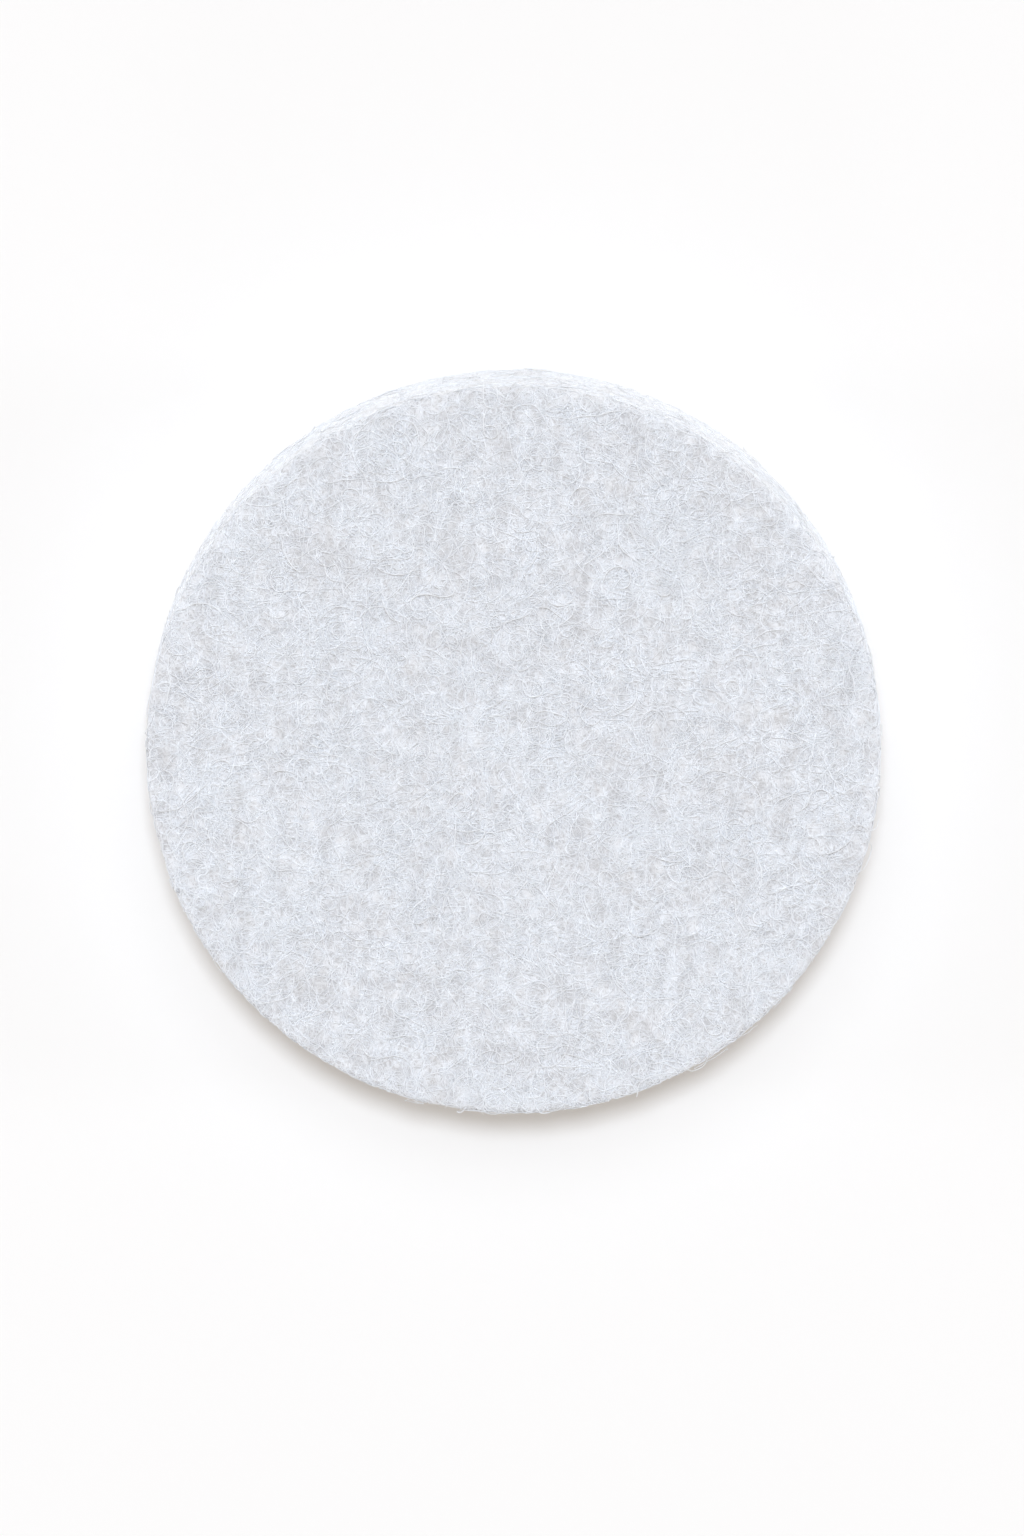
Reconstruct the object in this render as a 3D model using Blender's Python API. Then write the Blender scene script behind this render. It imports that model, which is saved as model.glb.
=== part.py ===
"""Round felt furniture pad, cut with a die from a sheet of thick pressed felt.

The pad is one solid disc. Its flat back face lies on z = 0 and is the side that is fastened under
the foot of a chair or a table. Its glide face is on top, at z = THICKNESS, and is the side that
slides on the floor. The die leaves both edges crisp, and the nap of the glide face rounds its edge
over a little more than the back's.
"""

import math

import bmesh
import bpy

# Driving dimensions, in metres
DIAMETER = 0.025
THICKNESS = 0.005
BACK_EDGE_RADIUS = 0.0002
GLIDE_EDGE_RADIUS = 0.0003

# Facets of the round shapes
WALL_FACETS = 128
BACK_EDGE_FACETS = 3
GLIDE_EDGE_FACETS = 4
SMOOTH_UP_TO = math.radians(40)

# Finish: pale, slightly bluish felt, as linear red, green and blue
FELT_COLOUR = (0.76, 0.79, 0.84)
FELT_ROUGHNESS = 0.95


def clear_scene():
    """Removes every object, so that the pad stands alone."""
    for obj in list(bpy.data.objects):
        bpy.data.objects.remove(obj, do_unlink=True)


def rounded_edge(centre_height, edge_radius, start, end, facets):
    """Points (distance from the axis, height) of one rounded edge, between two angles.

    Angle 0 points away from the axis, and an angle of a quarter turn points up.
    """
    centre_distance = DIAMETER / 2 - edge_radius
    points = []
    for step in range(facets + 1):
        angle = start + (end - start) * step / facets
        distance = centre_distance + edge_radius * math.cos(angle)
        height = centre_height + edge_radius * math.sin(angle)
        points.append((distance, height))
    return points


def wall_section():
    """The pad's section outside its flat faces, from the back face up to the glide face."""
    quarter_turn = math.pi / 2
    back_edge = rounded_edge(BACK_EDGE_RADIUS, BACK_EDGE_RADIUS, -quarter_turn, 0, BACK_EDGE_FACETS)
    glide_edge_height = THICKNESS - GLIDE_EDGE_RADIUS
    glide_edge = rounded_edge(glide_edge_height, GLIDE_EDGE_RADIUS, 0, quarter_turn, GLIDE_EDGE_FACETS)
    return back_edge + glide_edge


def pad_mesh(name):
    """The closed disc: its wall section spun round the axis, with a flat face at each end."""
    shape = bmesh.new()
    corners = [shape.verts.new((distance, 0, height)) for distance, height in wall_section()]
    section = [shape.edges.new(pair) for pair in zip(corners, corners[1:])]
    bmesh.ops.spin(
        shape,
        geom=corners + section,
        cent=(0, 0, 0),
        axis=(0, 0, 1),
        angle=2 * math.pi,
        steps=WALL_FACETS,
        use_merge=True,
    )
    bmesh.ops.holes_fill(shape, edges=shape.edges, sides=WALL_FACETS)
    bmesh.ops.recalc_face_normals(shape, faces=shape.faces)
    mesh = bpy.data.meshes.new(name)
    shape.to_mesh(mesh)
    shape.free()
    mesh.shade_smooth()
    mesh.set_sharp_from_angle(angle=SMOOTH_UP_TO)
    return mesh


def felt():
    """The felt's plain material: matt and not metallic."""
    material = bpy.data.materials.new("felt")
    material.use_nodes = True
    surface = material.node_tree.nodes["Principled BSDF"]
    surface.inputs["Base Color"].default_value = (*FELT_COLOUR, 1)
    surface.inputs["Roughness"].default_value = FELT_ROUGHNESS
    surface.inputs["Metallic"].default_value = 0
    return material


def build():
    """Makes the felt pad in the cleared scene."""
    clear_scene()
    mesh = pad_mesh("felt_pad")
    mesh.materials.append(felt())
    pad = bpy.data.objects.new("felt_pad", mesh)
    bpy.context.scene.collection.objects.link(pad)


build()
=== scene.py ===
"""Looks of the round felt furniture pad, in a plain pale studio.

The pad is one disc of thick needled felt. Its body is a closed mesh with tufts and pits, and the
fibres that curl over it are real tubes, grown along its surface by seeded walks. The felt is
bluish white where it is full, with painted shade that makes its pits, the gaps between its
fibres and its lower fibres greyer, and painted light that makes its wall brighter. Lengths are
in metres and colours are linear red, green and blue.
"""

from __future__ import annotations

import logging
import math
from dataclasses import dataclass, field, replace
from enum import Enum

import bpy
import numpy as np
from mathutils import Matrix, Vector


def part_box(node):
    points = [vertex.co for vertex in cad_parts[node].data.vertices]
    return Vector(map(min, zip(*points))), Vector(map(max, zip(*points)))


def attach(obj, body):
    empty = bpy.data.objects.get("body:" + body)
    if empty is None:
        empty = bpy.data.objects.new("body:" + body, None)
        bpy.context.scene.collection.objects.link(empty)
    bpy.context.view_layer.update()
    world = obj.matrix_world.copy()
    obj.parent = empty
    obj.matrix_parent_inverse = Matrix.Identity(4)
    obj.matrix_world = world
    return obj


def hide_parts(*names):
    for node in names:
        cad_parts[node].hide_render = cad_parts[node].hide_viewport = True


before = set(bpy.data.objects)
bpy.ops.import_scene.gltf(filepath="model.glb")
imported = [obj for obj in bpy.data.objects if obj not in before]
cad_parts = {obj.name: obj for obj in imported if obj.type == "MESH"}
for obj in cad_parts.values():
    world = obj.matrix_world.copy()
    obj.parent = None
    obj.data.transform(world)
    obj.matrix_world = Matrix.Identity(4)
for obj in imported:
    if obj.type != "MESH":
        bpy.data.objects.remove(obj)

LOG = logging.getLogger("felt_pad")
MM = 0.001
FULL_TURN = 2 * math.pi
BODY_NAME = "root"
PAD_NODE = "felt_pad"
NEEDLED = 0.3  # how fast the felt's patterns change along the pad's axis, as a share of across it
ARC_STOPS = 13  # points on each rounded edge's section
WALL_LEAN = 40  # a place is on the wall once it is this many times as far past the rim as the face
TUBE_SIDES = 3
COOL_LIGHT = (0.911, 1.0, 1.122)
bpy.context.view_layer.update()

Colour = tuple[float, float, float]
Points = np.ndarray
Feed = bpy.types.NodeSocket | float | Colour


class Side(Enum):
    """The sides of the pad on which fibres grow."""

    GLIDE_FACE = "glide_face"
    WALL = "wall"


def unit(vectors: Points) -> Points:
    """The same vectors at length one.

    Args:
        vectors: Any array whose last axis holds x, y and z.

    Returns:
        An array of the same shape.
    """
    length = np.linalg.norm(vectors, axis=-1, keepdims=True)
    return vectors / np.maximum(length, 1e-12)


@dataclass(frozen=True)
class Ripples:
    """A smooth random field: plane waves of about one wavelength that cross in all directions."""

    wavelength: float
    seed: int
    waves: int = 56
    spread: float = 0.3

    def at(self, points: Points) -> Points:
        """The field at each point, with a mean of about 0 and a spread of about 1.

        Args:
            points: Places as an array of shape (count, 3).

        Returns:
            One value for each place.
        """
        rng = np.random.default_rng(self.seed)
        direction = unit(rng.normal(size=(self.waves, 3)))
        length = self.wavelength * np.exp(rng.normal(0, self.spread, self.waves))
        phase = rng.uniform(0, FULL_TURN, self.waves)
        turns = points @ (direction * (FULL_TURN / length)[:, None]).T
        return np.cos(turns + phase).sum(axis=1) * math.sqrt(2 / self.waves)


@dataclass(frozen=True)
class PadForm:
    """The smooth outer form that the felt follows: a disc with two rounded edges."""

    radius: float
    thickness: float
    glide_edge: float = 0.22 * MM
    back_edge: float = 0.2 * MM

    @classmethod
    def of_node(cls, node: str) -> PadForm:
        """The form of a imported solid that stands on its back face.

        Args:
            node: The solid's name.

        Returns:
            The form with that solid's radius and thickness.
        """
        low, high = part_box(node)
        return cls(radius=(high[0] - low[0]) / 2, thickness=high[2] - low[2])

    def grown(self, reach: float) -> PadForm:
        """The same form with its wall further out.

        Args:
            reach: How much further, or below 0 for further in.

        Returns:
            The wider or slimmer form.
        """
        return replace(self, radius=self.radius + reach)

    def section(self) -> tuple[Points, Points]:
        """The section's outline from the middle of the glide face to the middle of the back.

        Returns:
            Its points as (distance from the axis, height), and how far along it each one lies.
        """
        turn = np.linspace(0, math.pi / 2, ARC_STOPS)
        glide_centre = (self.radius - self.glide_edge, self.thickness - self.glide_edge)
        back_centre = (self.radius - self.back_edge, self.back_edge)
        glide_arc = np.stack([np.sin(turn), np.cos(turn)], 1) * self.glide_edge + glide_centre
        back_arc = np.stack([np.cos(turn), -np.sin(turn)], 1) * self.back_edge + back_centre
        outline = np.concatenate([[(0, self.thickness)], glide_arc, back_arc, [(0, 0)]])
        steps = np.linalg.norm(np.diff(outline, axis=0), axis=1)
        return outline, np.concatenate([[0], np.cumsum(steps)])

    def ring(self, along: Points, angle: Points) -> Points:
        """Places on the surface.

        Args:
            along: How far along the section each place lies.
            angle: Its angle round the axis.

        Returns:
            The places as an array of shape (count, 3).
        """
        outline, lengths = self.section()
        distance = np.interp(along, lengths, outline[:, 0])
        height = np.interp(along, lengths, outline[:, 1])
        return np.stack([distance * np.cos(angle), distance * np.sin(angle), height], -1)

    def nearest(self, points: Points) -> tuple[Points, Points]:
        """The surface's nearest places to some points that lie close to it.

        Args:
            points: Places as an array of shape (count, 3).

        Returns:
            The places on the surface, and the surface's outward directions there.
        """
        distance = np.maximum(np.hypot(points[:, 0], points[:, 1]), 1e-9)
        outward = points[:, :2] / distance[:, None]
        upper = points[:, 2] > self.thickness / 2
        edge = np.where(upper, self.glide_edge, self.back_edge)
        facing = np.where(upper, 1.0, -1.0)
        face_height = np.where(upper, self.thickness, 0.0)
        past_rim = distance - (self.radius - edge)
        past_face = (points[:, 2] - face_height) * facing + edge
        on_wall = (past_face <= 0) | ((past_rim > 0) & (past_rim > WALL_LEAN * past_face))
        on_face = (past_rim <= 0) & (past_face > past_rim)
        across = np.where(on_face, 0.0, np.where(on_wall, 1.0, past_rim))
        rise = np.where(on_face, 1.0, np.where(on_wall, 0.0, past_face))
        size = np.maximum(np.hypot(across, rise), 1e-12)
        across, rise = across / size, rise / size
        flat = np.minimum(distance, self.radius - edge)
        new_distance = np.where(on_face, flat, self.radius - edge + edge * across)
        corner_height = face_height - facing * edge
        new_height = np.where(on_wall, points[:, 2], corner_height + facing * edge * rise)
        base = np.concatenate([outward * new_distance[:, None], new_height[:, None]], 1)
        normal = np.concatenate([outward * across[:, None], (facing * rise)[:, None]], 1)
        return base, normal


@dataclass(frozen=True)
class Relief:
    """The felt's tufts and pits, which the body and the fibres on it share."""

    thickness: float
    clouds: Ripples = Ripples(3.0 * MM, seed=11, spread=0.5)
    tufts: Ripples = Ripples(0.9 * MM, seed=12, spread=0.4)
    pits: Ripples = Ripples(0.4 * MM, seed=13)
    cloud_share: float = 0.25
    tuft_share: float = 0.58
    pit_share: float = 0.38
    steepness: float = 1.5
    richness: float = 0.4
    depth: float = 0.074 * MM
    level: float = 0.75
    wall_share: float = 0.25
    # Painted light: the wall, and more so towards its foot, counts as fuller, which paints it
    # brighter.
    wall_fullness_and_painted_light: float = 0.5
    foot_fullness_and_painted_light: float = 0.6

    def fullness(self, base: Points, normal: Points) -> Points:
        """How full the felt is: 0 at the bottom of a pit and 1 on top of a tuft. The wall and its
        foot are made fuller, which raises their mat a little and also paints them brighter as
        light.

        Args:
            base: Places on the pad's form.
            normal: The pad's outward directions there.

        Returns:
            One value for each place.
        """
        place = base * (1, 1, NEEDLED)
        # Painted light: the wall, and its lower part more, are made fuller and so brighter.
        mixed = self.richness + self.wall_fullness_and_painted_light * (1 - normal[:, 2] ** 2)
        mixed += self.foot_fullness_and_painted_light * (1 - base[:, 2] / self.thickness)
        mixed += self.cloud_share * self.clouds.at(place)
        mixed += self.tuft_share * self.tufts.at(place)
        mixed += self.pit_share * self.pits.at(place)
        return 1 / (1 + np.exp(-self.steepness * mixed))

    def loft(self, normal: Points) -> Points:
        """How freely the felt stands up: fully on the faces, and less where the die has cut it.

        Args:
            normal: The pad's outward directions, as an array of shape (count, 3).

        Returns:
            A share from wall_share to 1 for each place.
        """
        return self.wall_share + (1 - self.wall_share) * normal[:, 2] ** 2

    def height(self, fullness: Points, normal: Points) -> Points:
        """How far the mat stands out from the pad's form: below 0 in the pits.

        Args:
            fullness: How full the felt is at each place.
            normal: The pad's outward direction there.

        Returns:
            One height for each place.
        """
        return self.depth * self.loft(normal) * (fullness - self.level)


@dataclass
class MeshParts:
    """The arrays that make up one mesh."""

    points: Points
    faces: list[Points] = field(default_factory=list)
    values: dict[str, Points] = field(default_factory=dict)
    bake_places: Points | None = None

    def build(self, name: str, material: bpy.types.Material) -> bpy.types.Object:
        """Makes the object, shaded smooth.

        Args:
            name: The object's name.
            material: What it is made of.

        Returns:
            The new object, linked to the scene.
        """
        mesh = bpy.data.meshes.new(name)
        corners = np.concatenate([face.ravel() for face in self.faces])
        counts = np.concatenate([np.full(len(face), face.shape[1]) for face in self.faces])
        mesh.vertices.add(len(self.points))
        mesh.vertices.foreach_set("co", self.points.astype(np.float32).ravel())
        mesh.loops.add(len(corners))
        mesh.loops.foreach_set("vertex_index", corners.astype(np.int32))
        mesh.polygons.add(len(counts))
        starts = np.cumsum(counts) - counts
        mesh.polygons.foreach_set("loop_start", starts.astype(np.int32))
        mesh.update(calc_edges=True)
        for label, value in self.values.items():
            attribute = mesh.attributes.new(label, "FLOAT", "POINT")
            attribute.data.foreach_set("value", value.astype(np.float32))
        if self.bake_places is not None:
            layer = mesh.uv_layers.new(name="OFBake")
            layer.data.foreach_set("uv", self.bake_places.astype(np.float32).ravel())
        mesh.validate()
        mesh.shade_smooth()
        mesh.materials.append(material)
        obj = bpy.data.objects.new(name, mesh)
        bpy.context.scene.collection.objects.link(obj)
        return obj


@dataclass(frozen=True)
class BakeSheet:
    """Where the body's sides lie on the square its finish is baked to, as shares of its width."""

    glide_middle: tuple[float, float] = (0.31, 0.68)
    glide_reach: float = 0.30
    back_middle: tuple[float, float] = (0.81, 0.78)
    back_reach: float = 0.18
    strips: int = 2
    strip_height: float = 0.14
    margin: float = 0.015

    def disc(
        self, middle: tuple[float, float], reach: float, out: Points, angle: Points
    ) -> Points:
        """Places on one of the two round faces.

        Args:
            middle: The disc's middle on the square.
            reach: Its radius there.
            out: Each place's share of the way out to the rim.
            angle: Its angle.

        Returns:
            An array of shape (count, 2).
        """
        across = np.stack([np.cos(angle), np.sin(angle)], 1)
        return np.array(middle) + reach * out[:, None] * across

    def strip(self, column: Points, row: Points, columns: int, rows: int) -> Points:
        """Places on the wall, which is cut into strips that lie under each other.

        Args:
            column: Each face corner's column, from 0 to columns.
            row: Its row, from 0 to rows.
            columns: How many faces go round the wall.
            rows: How many go up it.

        Returns:
            An array of shape (faces, 4, 2), where each face keeps to one strip.
        """
        width = columns // self.strips
        strip = column.min(axis=-1, keepdims=True) // width
        across = self.margin + (1 - 2 * self.margin) * (column - strip * width) / width
        height = self.strip_height - self.margin
        up = self.margin + strip * self.strip_height + height * row / rows
        return np.stack([across, up], -1)


@dataclass
class FeltBody:
    """The mat of the felt: one closed disc with tufts and pits all over."""

    form: PadForm
    relief: Relief
    sheet: BakeSheet = BakeSheet()
    cells: int = 160
    wall_rows: int = 28

    def face_grid(self) -> tuple[Points, Points]:
        """An even grid over a round face: a square whose rings become circles.

        Returns:
            Each corner's share of the way out to the rim, and its angle.
        """
        line = np.linspace(-1, 1, self.cells + 1)
        first, second = (axis.ravel() for axis in np.meshgrid(line, line, indexing="ij"))
        wide = np.abs(first) > np.abs(second)
        out = np.where(wide, first, second)
        safe = np.where(out == 0, 1, out)
        lean = math.pi / 4 * np.where(wide, second, first) / safe
        angle = np.where(wide, lean, math.pi / 2 - lean)
        return np.abs(out), np.where(out < 0, angle + math.pi, angle)

    def rim_loop(self) -> Points:
        """The numbers of the grid's outer corners, in order round it."""
        side = self.cells + 1
        near = np.arange(self.cells)
        low = near * side
        right = self.cells * side + near
        high = (self.cells - near) * side + self.cells
        left = self.cells - near
        return np.concatenate([low, right, high, left])

    def build(self, material: bpy.types.Material) -> bpy.types.Object:
        """Makes the body: the glide face, the back and the wall between their rims.

        Args:
            material: What the mat is made of.

        Returns:
            The new object.
        """
        _, lengths = self.form.section()
        glide_end, wall_end, total = lengths[ARC_STOPS], lengths[ARC_STOPS + 1], lengths[-1]
        out, angle = self.face_grid()
        glide = self.form.ring(out * glide_end, angle)
        back = self.form.ring(total - out * (total - wall_end), angle)
        rim = self.rim_loop()
        rows = np.linspace(glide_end, wall_end, self.wall_rows + 1)[1:-1]
        row, place = np.meshgrid(rows, angle[rim], indexing="ij")
        wall = self.form.ring(row.ravel(), place.ravel())

        first = np.arange((self.cells + 1) ** 2).reshape(self.cells + 1, -1)
        low, right = first[:-1, :-1].ravel(), first[1:, :-1].ravel()
        far, left = first[1:, 1:].ravel(), first[:-1, 1:].ravel()
        glide_faces = np.stack([low, right, far, left], 1)
        loops = 2 * len(glide) + np.arange(len(wall)).reshape(len(rows), -1)
        loops = np.concatenate([rim[None], loops, rim[None] + len(glide)])
        after = np.roll(loops, -1, axis=1)
        wall_faces = np.stack([loops[:-1], loops[1:], after[1:], after[:-1]], -1).reshape(-1, 4)
        faces = [glide_faces, glide_faces[:, ::-1] + len(glide), wall_faces]

        base, normal = self.form.nearest(np.concatenate([glide, back, wall]))
        fullness = self.relief.fullness(base, normal)
        points = base + normal * self.relief.height(fullness, normal)[:, None]
        points[:, 2] = np.maximum(points[:, 2], 0)
        places = self.bake_places(glide_faces, out, angle)
        parts = MeshParts(points, faces, {"fullness": fullness}, places)
        return parts.build("felt_body", material)

    def bake_places(self, glide_faces: Points, out: Points, angle: Points) -> Points:
        """Where each face corner's finish is baked, in the order of the body's faces.

        Args:
            glide_faces: The glide face's faces as corner numbers.
            out: Each corner's share of the way out to the rim.
            angle: Its angle.

        Returns:
            An array of shape (face corners, 2).
        """
        sheet = self.sheet
        glide = sheet.disc(sheet.glide_middle, sheet.glide_reach, out, angle)[glide_faces]
        back = sheet.disc(sheet.back_middle, sheet.back_reach, out, angle)[glide_faces[:, ::-1]]
        columns = 4 * self.cells
        row, column = (axis.ravel()[:, None] for axis in np.indices((self.wall_rows, columns)))
        corner_rows = row + np.array([[0, 1, 1, 0]])
        corner_columns = column + np.array([[0, 0, 1, 1]])
        wall = sheet.strip(corner_columns, corner_rows, columns, self.wall_rows)
        return np.concatenate([glide.reshape(-1, 2), back.reshape(-1, 2), wall.reshape(-1, 2)])


@dataclass(frozen=True)
class FibreKind:
    """How the fibres of one nap grow."""

    count: int
    steps: int = 8
    shortest: float = 0.7 * MM
    longest: float = 1.6 * MM
    thickness: float = 0.034 * MM
    curl: float = 0.26 * MM
    lift: float = 0.07 * MM
    loose_share: float = 0.06
    gathering: float = 1.5
    upright: float = 1.0
    # The range of each fibre's random tone; main also gives the lower naps darker ranges, as
    # painted shade.
    tones: tuple[float, float] = (0.0, 1.0)
    least_lift: float = 0.2
    loose_lift: float = 2.0
    arch_power: float = 0.6
    bend_kept: float = 0.9
    bend_change: float = 0.4
    roll: float = 0.3
    tip_width: float = 0.35
    tip_slope: float = 5.0
    widths: tuple[float, float] = (0.7, 1.25)


@dataclass
class Nap:
    """Fibres that lie curled over one side of the pad."""

    name: str
    side: Side
    kind: FibreKind
    form: PadForm
    relief: Relief
    seed: int
    sunk: float = 0.03 * MM
    bake_columns: int = 24
    bake_ends: tuple[float, float] = (0.08, 0.92)
    bake_sides: tuple[float, float] = (0.15, 0.85)
    bake_tips: tuple[float, float] = (0.04, 0.96)
    rng: np.random.Generator = field(init=False)

    def __post_init__(self) -> None:
        """Starts the nap's own random draws."""
        self.rng = np.random.default_rng(self.seed)

    def starts(self) -> Points:
        """Where the fibres start: more of them on tufts than in pits.

        Returns:
            Places on the pad's form, as an array of shape (count, 3).
        """
        tries = self.kind.count * 4
        angle = self.rng.uniform(0, FULL_TURN, tries)
        if self.side is Side.GLIDE_FACE:
            distance = self.form.radius * np.sqrt(self.rng.uniform(0, 1, tries))
            height = np.full(tries, self.form.thickness)
        else:
            distance = np.full(tries, self.form.radius)
            height = self.rng.uniform(0, self.form.thickness, tries)
        places = np.stack([distance * np.cos(angle), distance * np.sin(angle), height], 1)
        base, normal = self.form.nearest(places)
        wanted = self.relief.fullness(base, normal) ** self.kind.gathering
        return base[self.rng.uniform(0, 1, tries) < wanted][: self.kind.count]

    def walk(self) -> tuple[Points, Points, Points]:
        """Lets every fibre wander over the felt, all of them a step at a time.

        Returns:
            The fibres' points and the surface's outward directions there, as arrays of shape
            (fibres, steps + 1, 3), and how full the felt is at each point.
        """
        kind, rng = self.kind, self.rng
        base = self.starts()
        number = len(base)
        stride = rng.uniform(kind.shortest, kind.longest, number) / kind.steps
        heading = unit(rng.normal(size=(number, 3)) * (1, 1, kind.upright))
        bend = rng.normal(0, 1 / kind.curl, number)
        loose = rng.uniform(0, 1, number) < kind.loose_share
        top = kind.lift * rng.uniform(kind.least_lift, 1.0, number)
        top = top * np.where(loose, kind.loose_lift, 1.0)
        points, normals, fullness = [], [], []
        for step in range(kind.steps + 1):
            base, normal = self.form.nearest(base)
            full = self.relief.fullness(base, normal)
            share = step / kind.steps
            arch = math.sin(math.pi * share) ** kind.arch_power
            arch = np.where(loose, max(arch, share), arch)
            free = np.where(loose, 1.0, self.relief.loft(normal))
            lift = (top * free + self.sunk) * arch - self.sunk
            height = self.relief.height(full, normal) + lift
            points.append(base + normal * height[:, None])
            normals.append(normal)
            fullness.append(full)
            heading = unit(heading - (heading * normal).sum(1, keepdims=True) * normal)
            turn = (bend * stride)[:, None]
            heading = heading * np.cos(turn) + np.cross(normal, heading) * np.sin(turn)
            bend = kind.bend_kept * bend + rng.normal(0, kind.bend_change / kind.curl, number)
            base = base + heading * stride[:, None]
        path = np.stack(points, 1)
        path[..., 2] = np.maximum(path[..., 2], kind.thickness)
        return path, np.stack(normals, 1), np.stack(fullness, 1)

    def build(self, material: bpy.types.Material) -> bpy.types.Object:
        """Makes the nap: a closed three-sided tube along every fibre.

        Args:
            material: What the fibres are made of.

        Returns:
            The new object.
        """
        kind = self.kind
        path, normal, fullness = self.walk()
        number, stops, _ = path.shape
        along = unit(np.gradient(path, axis=1))
        side = unit(np.cross(along, normal))
        up = np.cross(side, along)
        here = np.arange(TUBE_SIDES)[None, None, :]
        roll = math.pi / 6 + self.rng.uniform(-kind.roll, kind.roll, (number, 1, 1))
        turn = roll + here * FULL_TURN / TUBE_SIDES
        share = np.linspace(0, 1, stops)
        from_tip = np.minimum(1, kind.tip_slope * np.minimum(share, 1 - share))
        taper = kind.tip_width + (1 - kind.tip_width) * from_tip
        thick = kind.thickness / 2 * self.rng.uniform(*kind.widths, (number, 1))
        radius = (thick * taper[None])[:, :, None, None]
        ring = np.cos(turn)[..., None] * side[:, :, None]
        ring = ring + np.sin(turn)[..., None] * up[:, :, None]
        points = (path[:, :, None] + radius * ring).reshape(-1, 3)

        first = np.arange(number)[:, None, None] * stops * TUBE_SIDES
        low = first + np.arange(stops - 1)[None, :, None] * TUBE_SIDES
        high = low + TUBE_SIDES
        after = (here + 1) % TUBE_SIDES
        walls = np.stack([low + here, low + after, high + after, high + here], -1)
        start_cap = first[:, 0] + here[0, :, ::-1]
        end_cap = first[:, 0] + (stops - 1) * TUBE_SIDES + here[0]
        least, most = kind.tones
        tone = least + (most - least) * self.rng.beta(2, 2, number)
        values = {
            "fullness": np.repeat(fullness.ravel(), TUBE_SIDES),
            "tone": np.repeat(tone, stops * TUBE_SIDES),
        }
        faces = [walls.reshape(-1, 4), start_cap, end_cap]
        parts = MeshParts(points, faces, values, self.bake_places(number, stops))
        return parts.build(self.name, material)

    def bake_places(self, number: int, stops: int) -> Points:
        """Where each face corner's finish is baked: every fibre has a strip of its own.

        Args:
            number: How many fibres there are.
            stops: How many rings of corners each one has.

        Returns:
            An array of shape (face corners, 2), in the order of the nap's faces.
        """
        cell = np.array([1 / self.bake_columns, 1 / math.ceil(number / self.bake_columns)])
        fibre = np.arange(number)
        origin = np.stack([fibre % self.bake_columns, fibre // self.bake_columns], 1) * cell
        (start, end), (start_tip, end_tip) = self.bake_ends, self.bake_tips
        near, far = self.bake_sides
        stop = np.linspace(start, end, stops)
        side = np.linspace(near, far, TUBE_SIDES + 1)
        along, across = np.meshgrid(stop[:-1], side[:-1], indexing="ij")
        step, width = stop[1] - stop[0], side[1] - side[0]
        shifts = np.array([(0, 0), (0, width), (step, width), (step, 0)])
        walls = np.stack([along, across], -1)[:, :, None] + shifts
        start_cap = np.array([(start, far), (start, near), (start_tip, 0.5)])
        end_cap = np.array([(end, near), (end, far), (end_tip, 0.5)])
        places = [
            (origin[:, None] + part.reshape(-1, 2) * cell).reshape(-1, 2)
            for part in (walls, start_cap, end_cap)
        ]
        return np.concatenate(places)


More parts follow.
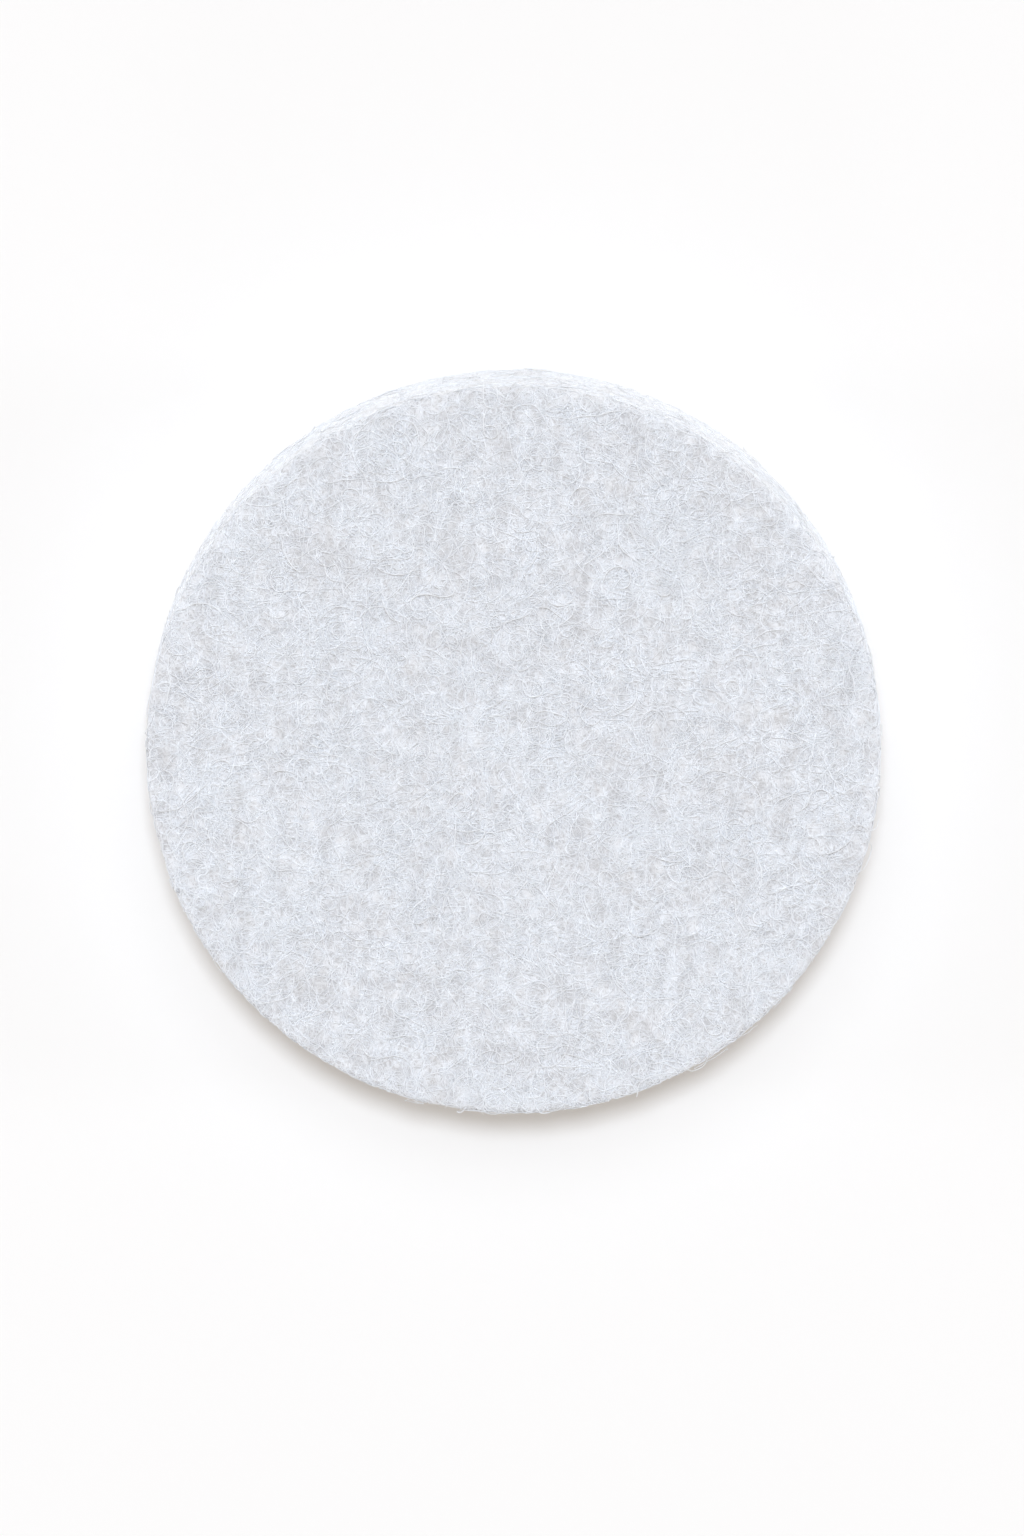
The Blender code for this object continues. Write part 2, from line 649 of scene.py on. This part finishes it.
class Nodes:
    """Adds nodes to one node tree and joins them."""

    def __init__(self, tree: bpy.types.NodeTree) -> None:
        """Takes the tree that the nodes go into.

        Args:
            tree: A material's, a world's or a group's node tree.
        """
        self.tree = tree

    def feed(self, node: bpy.types.Node, feeds: dict[str | int, Feed]) -> None:
        """Gives a node's inputs what they read.

        Args:
            node: The node.
            feeds: What each input gets: an output socket or a plain value.
        """
        for key, value in feeds.items():
            if isinstance(value, bpy.types.NodeSocket):
                self.tree.links.new(value, node.inputs[key])
            else:
                node.inputs[key].default_value = value

    def add(
        self, kind: str, feeds: dict[str | int, Feed] | None = None, **settings: object
    ) -> bpy.types.Node:
        """Adds one node.

        Args:
            kind: The node's type, without the words that all shader nodes start with.
            feeds: What each input gets: an output socket or a plain value.
            settings: The node's own settings, such as operation.

        Returns:
            The new node.
        """
        node = self.tree.nodes.new("ShaderNode" + kind)
        for name, value in settings.items():
            setattr(node, name, value)
        self.feed(node, feeds or {})
        return node

    def add_place(self) -> bpy.types.NodeSocket:
        """Adds the place that patterns are read at, drawn out through the felt's thickness."""
        place = self.add("TexCoord").outputs["Object"]
        return self.add("Mapping", {"Vector": place, "Scale": (1, 1, NEEDLED)}).outputs[0]

    def add_input(self) -> bpy.types.NodeOutputs:
        """Adds what a group's user feeds in, and gives its sockets."""
        return self.tree.nodes.new("NodeGroupInput").outputs

    def add_output(self, feeds: dict[str, Feed]) -> None:
        """Adds what a group puts out."""
        self.feed(self.tree.nodes.new("NodeGroupOutput"), feeds)

    def group(self, tree: bpy.types.NodeTree, feeds: dict[str, Feed]) -> bpy.types.NodeOutputs:
        """Places a node group.

        Args:
            tree: The group.
            feeds: What its inputs get.

        Returns:
            The group's outputs.
        """
        return self.add("Group", feeds, node_tree=tree).outputs

    def math(self, operation: str, *values: Feed) -> bpy.types.NodeSocket:
        """Adds a sum on numbers.

        Args:
            operation: Such as ADD or MULTIPLY.
            values: Its inputs in order: output sockets or numbers.

        Returns:
            The result's socket.
        """
        return self.add("Math", dict(enumerate(values)), operation=operation).outputs[0]

    def shift(self, operation: str, first: Feed, second: Feed) -> bpy.types.NodeSocket:
        """Adds a sum on two vectors.

        Args:
            operation: Such as ADD or SUBTRACT.
            first: The first vector.
            second: The second vector.

        Returns:
            The result's socket.
        """
        return self.add("VectorMath", {0: first, 1: second}, operation=operation).outputs[0]

    def noise(
        self, place: Feed, size: float, detail: float, seed: float = 0.0
    ) -> bpy.types.NodeSocket:
        """Adds a smooth random value with a mean of 0.

        Args:
            place: The place that it is read at.
            size: How large its lumps are.
            detail: How many finer octaves lie on them.
            seed: Another number gives another pattern.

        Returns:
            The value's socket.
        """
        feeds = {"Vector": place, "W": seed, "Scale": 1 / size, "Detail": detail}
        made = self.add("TexNoise", feeds, noise_dimensions="4D")
        return self.math("SUBTRACT", made.outputs["Fac"], 0.5)

    def blend(
        self, share: Feed, first: Feed, second: Feed, kind: str = "MIX"
    ) -> bpy.types.NodeSocket:
        """Adds a mix of two colours.

        Args:
            share: How much of the second colour, from 0 to 1.
            first: The first colour.
            second: The second colour.
            kind: How they mix, such as MIX or MULTIPLY.

        Returns:
            The mixed colour's socket.
        """
        first = (*first, 1) if isinstance(first, tuple) else first
        second = (*second, 1) if isinstance(second, tuple) else second
        feeds = {0: share, 6: first, 7: second}
        return self.add("Mix", feeds, data_type="RGBA", blend_type=kind).outputs[2]


def node_group(
    name: str, inputs: dict[str, float | None], outputs: dict[str, str]
) -> bpy.types.NodeTree:
    """Makes an empty shader node group with named sockets.

    Args:
        name: The group's name.
        inputs: Each input's name and starting number, or None for a vector.
        outputs: Each output's name and the kind of its socket, such as Float.

    Returns:
        The group's node tree.
    """
    tree = bpy.data.node_groups.new(name, "ShaderNodeTree")
    for label, start in inputs.items():
        kind = "NodeSocketVector" if start is None else "NodeSocketFloat"
        socket = tree.interface.new_socket(label, in_out="INPUT", socket_type=kind)
        if start is not None:
            socket.default_value = start
    for label, kind in outputs.items():
        tree.interface.new_socket(label, in_out="OUTPUT", socket_type="NodeSocket" + kind)
    return tree


@dataclass(frozen=True)
class CrossingFibres:
    """A pattern of thin curly lines that cross, as the fibres inside pressed felt do."""

    layers: int = 5
    stretch: float = 4.0
    bend: float = 1.2
    sharpness: float = 6.0
    deepest: float = 0.5
    tilt: float = math.radians(18)
    roll: float = 0.4
    shift: tuple[float, float, float] = (0.013, 0.007, 0.003)

    def group(self) -> bpy.types.NodeTree:
        """Builds the pattern as a node group.

        Returns:
            A group with the inputs Vector, Spacing and Curl and the output Fibres, which is 0
            between the fibres and 1 on the uppermost ones.
        """
        inputs = {"Vector": None, "Spacing": 0.12 * MM, "Curl": 0.35 * MM}
        tree = node_group("crossing_fibres", inputs, {"Fibres": "Float"})
        nodes = Nodes(tree)
        given = nodes.add_input()
        per_curl = nodes.math("DIVIDE", 1.0, given["Curl"])
        sway = nodes.add("TexNoise", {"Vector": given["Vector"], "Scale": per_curl, "Detail": 1.0})
        centred = nodes.shift("SUBTRACT", sway.outputs["Color"], (0.5, 0.5, 0.5))
        reach = nodes.math("MULTIPLY", given["Curl"], self.bend)
        moved = nodes.add("VectorMath", {0: centred, "Scale": reach}, operation="SCALE")
        bent = nodes.shift("ADD", given["Vector"], moved.outputs[0])
        long_way = nodes.math("MULTIPLY", given["Spacing"], self.stretch)
        sides = {"X": long_way, "Y": given["Spacing"], "Z": given["Spacing"]}
        cell = nodes.add("CombineXYZ", sides)
        lines = None
        for layer in range(self.layers):
            tilt = self.tilt * (-1) ** layer
            feeds = {
                "Vector": bent,
                "Location": tuple(step * layer for step in self.shift),
                "Rotation": (self.roll * layer, tilt, math.pi * layer / self.layers),
                "Scale": cell.outputs[0],
            }
            laid = nodes.add("Mapping", feeds, vector_type="TEXTURE")
            feeds = {"Vector": laid.outputs[0], "Scale": 1.0, "Detail": 0.0}
            noise = nodes.add("TexNoise", feeds)
            off_line = nodes.math("ABSOLUTE", nodes.math("SUBTRACT", noise.outputs["Fac"], 0.5))
            line = nodes.math("MULTIPLY_ADD", off_line, -2 * self.sharpness, 1.0)
            # Deeper layers weigh less: their lines sit lower in the bump, and in the mat they
            # leave more of the painted gap shade.
            top = self.deepest + (1 - self.deepest) * (layer + 1) / self.layers
            line = nodes.math("MULTIPLY", nodes.math("MAXIMUM", line, 0.0), top)
            lines = line if lines is None else nodes.math("MAXIMUM", lines, line)
        nodes.add_output({"Fibres": lines})
        return tree


@dataclass(frozen=True)
class FeltMottle:
    """The felt's uneven colour: random mottling with faint warm and cool flecks, plus painted
    shade and light from the fullness, greyer in the pits and brighter on the tufts and the wall.
    """

    cloud_size: float = 2.0 * MM
    fleck_size: float = 0.22 * MM
    cloud_share: float = 0.9
    fleck_share: float = 0.4
    tint_size: float = 0.35 * MM
    warm: Colour = (1.0, 0.9965, 0.99)
    cool: Colour = (0.9935, 0.998, 1.0)
    tint_steepness: float = 2.5

    def group(self) -> bpy.types.NodeTree:
        """Builds the mottling as a node group.

        Returns:
            A group with the inputs Vector, Fullness and Contrast, and the outputs Shade, where 0
            is the grey of a gap and 1 the brightest tuft, partly random mottle and partly painted
            shade from the fullness, and Tint, a colour to multiply by.
        """
        inputs = {"Vector": None, "Fullness": 0.5, "Contrast": 1.0}
        tree = node_group("felt_mottle", inputs, {"Shade": "Float", "Tint": "Color"})
        nodes = Nodes(tree)
        given = nodes.add_input()
        # Painted shade and light: the fullness darkens the pits and brightens the tufts and the
        # wall; the noise below is random mottle.
        total = nodes.math("SUBTRACT", given["Fullness"], 0.5)
        sizes, shares = (self.cloud_size, self.fleck_size), (self.cloud_share, self.fleck_share)
        for size, share in zip(sizes, shares):
            lumps = nodes.noise(given["Vector"], size, detail=2.0)
            total = nodes.math("MULTIPLY_ADD", lumps, share, total)
        scaled = nodes.math("MULTIPLY_ADD", total, given["Contrast"], 0.5)
        shade = nodes.add("Clamp", {"Value": scaled})
        hue = nodes.noise(given["Vector"], self.tint_size, detail=3.0, seed=5.0)
        hue = nodes.math("MULTIPLY_ADD", hue, self.tint_steepness, 0.5)
        coolness = nodes.add("Clamp", {"Value": hue})
        tint = nodes.blend(coolness.outputs[0], self.warm, self.cool)
        nodes.add_output({"Shade": shade.outputs[0], "Tint": tint})
        return tree


@dataclass(frozen=True)
class MatFinish:
    """The pressed mat under the loose fibres: curly crossing fibres, with painted shade, grey in
    the gaps between them and in the pits.
    """

    # Painted shade colours: the grey of the gaps between fibres and of the pits.
    painted_gap_shade_colour: Colour = (0.62, 0.612, 0.62)
    painted_pit_shade_colour: Colour = (0.77, 0.769, 0.788)
    tuft_colour: Colour = (0.872, 0.879, 0.906)
    gap_reach: float = 0.7
    gap_fullness: float = 0.65
    gap_closing: float = 0.5
    roughness: float = 0.95
    specular: float = 0.2
    sheen: float = 0.5
    contrast: float = 0.88
    spacing: float = 0.12 * MM
    curl: float = 0.35 * MM
    line_height: float = 0.012 * MM

    def material(
        self, mottle: bpy.types.NodeTree, fibres: bpy.types.NodeTree
    ) -> bpy.types.Material:
        """Makes the mat's material.

        Args:
            mottle: The felt_mottle group.
            fibres: The crossing_fibres group.

        Returns:
            The new material.
        """
        made = bpy.data.materials.new("felt_mat")
        made.use_nodes = True
        nodes = Nodes(made.node_tree)
        place = nodes.add_place()
        full = nodes.add("Attribute", attribute_name="fullness").outputs["Fac"]
        shade = nodes.group(mottle, {"Vector": place, "Fullness": full, "Contrast": self.contrast})
        lines = nodes.group(fibres, {"Vector": place, "Spacing": self.spacing, "Curl": self.curl})
        # Painted shade: the mat is greyer where the felt is less full, in the pits.
        base = nodes.blend(shade["Shade"], self.painted_pit_shade_colour, self.tuft_colour)
        spare = nodes.math("SUBTRACT", full, self.gap_fullness)
        closing = nodes.math("MULTIPLY", spare, self.gap_closing)
        covered = nodes.math("MULTIPLY_ADD", lines["Fibres"], 1 / self.gap_reach, closing)
        filled = nodes.add("Clamp", {"Value": covered})
        # Painted shade: gaps that no crossing fibre covers take the grey gap colour.
        base = nodes.blend(filled.outputs[0], self.painted_gap_shade_colour, base)
        bump = nodes.add("Bump", {"Height": lines["Fibres"], "Distance": self.line_height})
        surface = {
            "Base Color": nodes.blend(1.0, base, shade["Tint"], "MULTIPLY"),
            "Normal": bump.outputs["Normal"],
            "Roughness": self.roughness,
            "Sheen Weight": self.sheen,
            "Specular IOR Level": self.specular,
        }
        nodes.feed(made.node_tree.nodes["Principled BSDF"], surface)
        return made


@dataclass(frozen=True)
class FibreFinish:
    """The loose fibres: matt and bluish white, greyer at random by each fibre's tone, and with
    painted shade that makes them greyer where they dip into a pit and on the lower naps.
    """

    name: str
    dull_and_shaded_colour: Colour = (0.885, 0.887, 0.909)
    clean_colour: Colour = (0.952, 0.968, 1.0)
    roughness: float = 0.85
    specular: float = 0.3
    sheen: float = 0.6
    tone_share: float = 0.38
    contrast: float = 0.88

    def material(self, mottle: bpy.types.NodeTree) -> bpy.types.Material:
        """Makes the fibres' material.

        Args:
            mottle: The felt_mottle group.

        Returns:
            The new material.
        """
        made = bpy.data.materials.new(self.name)
        made.use_nodes = True
        nodes = Nodes(made.node_tree)
        place = nodes.add_place()
        full = nodes.add("Attribute", attribute_name="fullness").outputs["Fac"]
        tone = nodes.add("Attribute", attribute_name="tone").outputs["Fac"]
        shade = nodes.group(mottle, {"Vector": place, "Fullness": full, "Contrast": self.contrast})
        own = nodes.math("SUBTRACT", tone, 0.5)
        share = nodes.math("MULTIPLY_ADD", own, self.tone_share, shade["Shade"])
        share = nodes.add("Clamp", {"Value": share}).outputs[0]
        # Painted shade: the share falls in the pits and with the lower naps' darker tones, so
        # those fibres take the greyer colour; the rest of its spread is random tone.
        base = nodes.blend(share, self.dull_and_shaded_colour, self.clean_colour)
        surface = {
            "Base Color": nodes.blend(1.0, base, shade["Tint"], "MULTIPLY"),
            "Roughness": self.roughness,
            "Sheen Weight": self.sheen,
            "Specular IOR Level": self.specular,
        }
        nodes.feed(made.node_tree.nodes["Principled BSDF"], surface)
        return made


@dataclass(frozen=True)
class Lamp:
    """A distant studio lamp, placed by where its light comes from. Its angles are in degrees."""

    name: str
    azimuth: float
    elevation: float
    softness: float
    share: float
    colour: Colour

    def build(self) -> None:
        """Makes the lamp, whose light on a level white surface is its share of full white."""
        azimuth, elevation = math.radians(self.azimuth), math.radians(self.elevation)
        data = bpy.data.lights.new(self.name, "SUN")
        data.energy = math.pi * self.share / math.sin(elevation)
        data.angle = math.radians(self.softness)
        data.color = self.colour
        obj = bpy.data.objects.new(self.name, data)
        level = math.cos(elevation)
        source = (math.sin(azimuth) * level, -math.cos(azimuth) * level, math.sin(elevation))
        obj.rotation_euler = Vector(source).to_track_quat("Z", "Y").to_euler()
        bpy.context.scene.collection.objects.link(obj)


@dataclass
class Studio:
    """The floor, the lights and the camera."""

    form: PadForm
    floor_size: float = 3.0
    floor_colour: Colour = (0.907, 0.889, 0.867)
    floor_glow: float = 0.015
    world_share: float = 0.40
    world_colour: Colour = (1.12, 1.0, 0.86)
    lens: float = 400.0
    sensor: float = 36.0
    frame_height: float = 52.30 * MM
    pixel_rows: int = 1536
    tilt: float = math.radians(8.5)
    right_of_middle: float = 1.7
    above_middle: float = 16.2
    clip_range: float = 100.0
    lamps: tuple[Lamp, ...] = (
        Lamp("key", 0.0, 74.0, 10.0, 0.415, COOL_LIGHT),
        Lamp("softbox", 0.0, 67.0, 44.0, 0.20, COOL_LIGHT),
        Lamp("front_fill", 0.0, 8.0, 12.0, 0.003, (1.0, 1.0, 1.0)),
        Lamp("left_fill", -90.0, 8.0, 12.0, 0.027, COOL_LIGHT),
        Lamp("right_fill", 90.0, 8.0, 12.0, 0.027, COOL_LIGHT),
        Lamp("back_fill", 180.0, 8.0, 12.0, 0.01, COOL_LIGHT),
    )

    def seen_or_lit(self, nodes: Nodes) -> bpy.types.NodeSocket:
        """Adds the nodes that tell a ray that shows the background from one that lights the felt.

        Args:
            nodes: The tree that they go into.

        Returns:
            A socket that is 1 for camera, glossy and transmission rays and 0 for others.
        """
        path = nodes.add("LightPath").outputs
        seen = nodes.math("MAXIMUM", path["Is Camera Ray"], path["Is Glossy Ray"])
        return nodes.math("MAXIMUM", seen, path["Is Transmission Ray"])

    def build_floor(self) -> None:
        """Makes the pale floor, which keeps the pad's shadow."""
        made = bpy.data.materials.new("pale_floor")
        made.use_nodes = True
        nodes = Nodes(made.node_tree)
        surface = made.node_tree.nodes["Principled BSDF"]
        surface.inputs["Base Color"].default_value = (*self.floor_colour, 1)
        surface.inputs["Roughness"].default_value = 1.0
        surface.inputs["Specular IOR Level"].default_value = 0.0
        surface.inputs["Emission Color"].default_value = (1, 1, 1, 1)
        glow = nodes.math("MULTIPLY", self.seen_or_lit(nodes), self.floor_glow)
        made.node_tree.links.new(glow, surface.inputs["Emission Strength"])
        half = self.floor_size / 2
        corners = np.array([(-1, -1, 0), (1, -1, 0), (1, 1, 0), (-1, 1, 0)]) * half
        floor = MeshParts(corners, [np.array([[0, 1, 2, 3]])]).build("floor", made)

    def build_world(self) -> None:
        """Makes the even light from all round, with a white background behind the floor."""
        world = bpy.data.worlds.new("studio")
        world.use_nodes = True
        world.node_tree.nodes.clear()
        nodes = Nodes(world.node_tree)
        glow = {"Color": (*self.world_colour, 1), "Strength": self.world_share}
        light = nodes.add("Background", glow)
        white = nodes.add("Background", {"Color": (1, 1, 1, 1), "Strength": 1.0})
        feeds = {0: self.seen_or_lit(nodes), 1: light.outputs[0], 2: white.outputs[0]}
        nodes.add("OutputWorld", {"Surface": nodes.add("MixShader", feeds).outputs[0]})
        bpy.context.scene.world = world

    def build_camera(self) -> None:
        """Makes the camera, which looks down on the glide face from just off the pad's axis."""
        data = bpy.data.cameras.new("camera")
        data.sensor_width = self.sensor
        data.lens = self.lens
        back = Vector((0, -math.sin(self.tilt), math.cos(self.tilt)))
        up = Vector((0, -math.cos(self.tilt), -math.sin(self.tilt)))
        right = up.cross(back)
        pixel = self.frame_height / self.pixel_rows
        face = Vector((0, 0, self.form.thickness))
        aim = face - right * (self.right_of_middle * pixel) - up * (self.above_middle * pixel)
        away = self.frame_height * self.lens / self.sensor
        turn = Matrix((right, up, back)).transposed().to_4x4()
        obj = bpy.data.objects.new("camera", data)
        obj.matrix_world = Matrix.Translation(aim + back * away) @ turn
        data.clip_start = away / self.clip_range
        data.clip_end = away * self.clip_range
        bpy.context.scene.collection.objects.link(obj)
        bpy.context.scene.camera = obj

    def build(self) -> None:
        """Makes the whole studio and keeps colours as they are written."""
        self.build_floor()
        self.build_world()
        for lamp in self.lamps:
            lamp.build()
        self.build_camera()
        bpy.context.scene.view_settings.view_transform = "Standard"


def report(piece: bpy.types.Object) -> None:
    """Logs a finished piece.

    Args:
        piece: The piece's object.
    """
    LOG.info("%s: %d faces", piece.name, len(piece.data.polygons))


def join_frame(piece: bpy.types.Object) -> None:
    """Makes a piece ride on the pad's body, and logs it.

    Args:
        piece: The piece's object.
    """
    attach(piece, BODY_NAME)
    report(piece)


def main() -> None:
    """Builds the pad and the studio."""
    logging.basicConfig(level=logging.INFO)
    form = PadForm.of_node(PAD_NODE)
    relief = Relief(form.thickness)
    mottle = FeltMottle().group()
    crossing = CrossingFibres().group()

    core = form.grown(-0.005 * MM)
    brow = form.grown(0.005 * MM)
    body = FeltBody(core, relief).build(MatFinish().material(mottle, crossing))
    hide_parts(PAD_NODE)
    join_frame(body)

    white = FibreFinish("felt_fibres").material(mottle)
    # Painted shade: the lower naps get darker tone ranges, so deeper fibres look greyer; each
    # fibre's tone within its range is random.
    layers = (
        FibreKind(count=3250, lift=0.04 * MM, tones=(0.0, 0.5)),
        FibreKind(count=3250, lift=0.055 * MM, tones=(0.2, 0.7)),
        FibreKind(count=3250, lift=0.075 * MM, tones=(0.4, 0.8)),
        FibreKind(
            count=2200,
            steps=12,
            shortest=1.2 * MM,
            longest=2.4 * MM,
            curl=0.3 * MM,
            lift=0.10 * MM,
            gathering=1.0,
            tones=(0.9, 1.0),
        ),
    )
    for number, kind in enumerate(layers):
        name = f"face_nap_{number + 1}"
        join_frame(Nap(name, Side.GLIDE_FACE, kind, brow, relief, seed=100 + number).build(white))
    stray = FibreKind(
        count=450,
        steps=18,
        shortest=1.8 * MM,
        longest=3.2 * MM,
        curl=0.5 * MM,
        lift=0.12 * MM,
        loose_share=0.15,
        tones=(0.7, 1.0),
    )
    join_frame(Nap("stray_fibres", Side.GLIDE_FACE, stray, brow, relief, seed=300).build(white))
    cut = FibreKind(
        count=3600,
        steps=7,
        curl=0.8 * MM,
        lift=0.06 * MM,
        loose_share=0.03,
        upright=3.5,
    )
    join_frame(Nap("wall_nap", Side.WALL, cut, core, relief, seed=200).build(white))
    Studio(form).build()


if __name__ == "__main__":
    main()
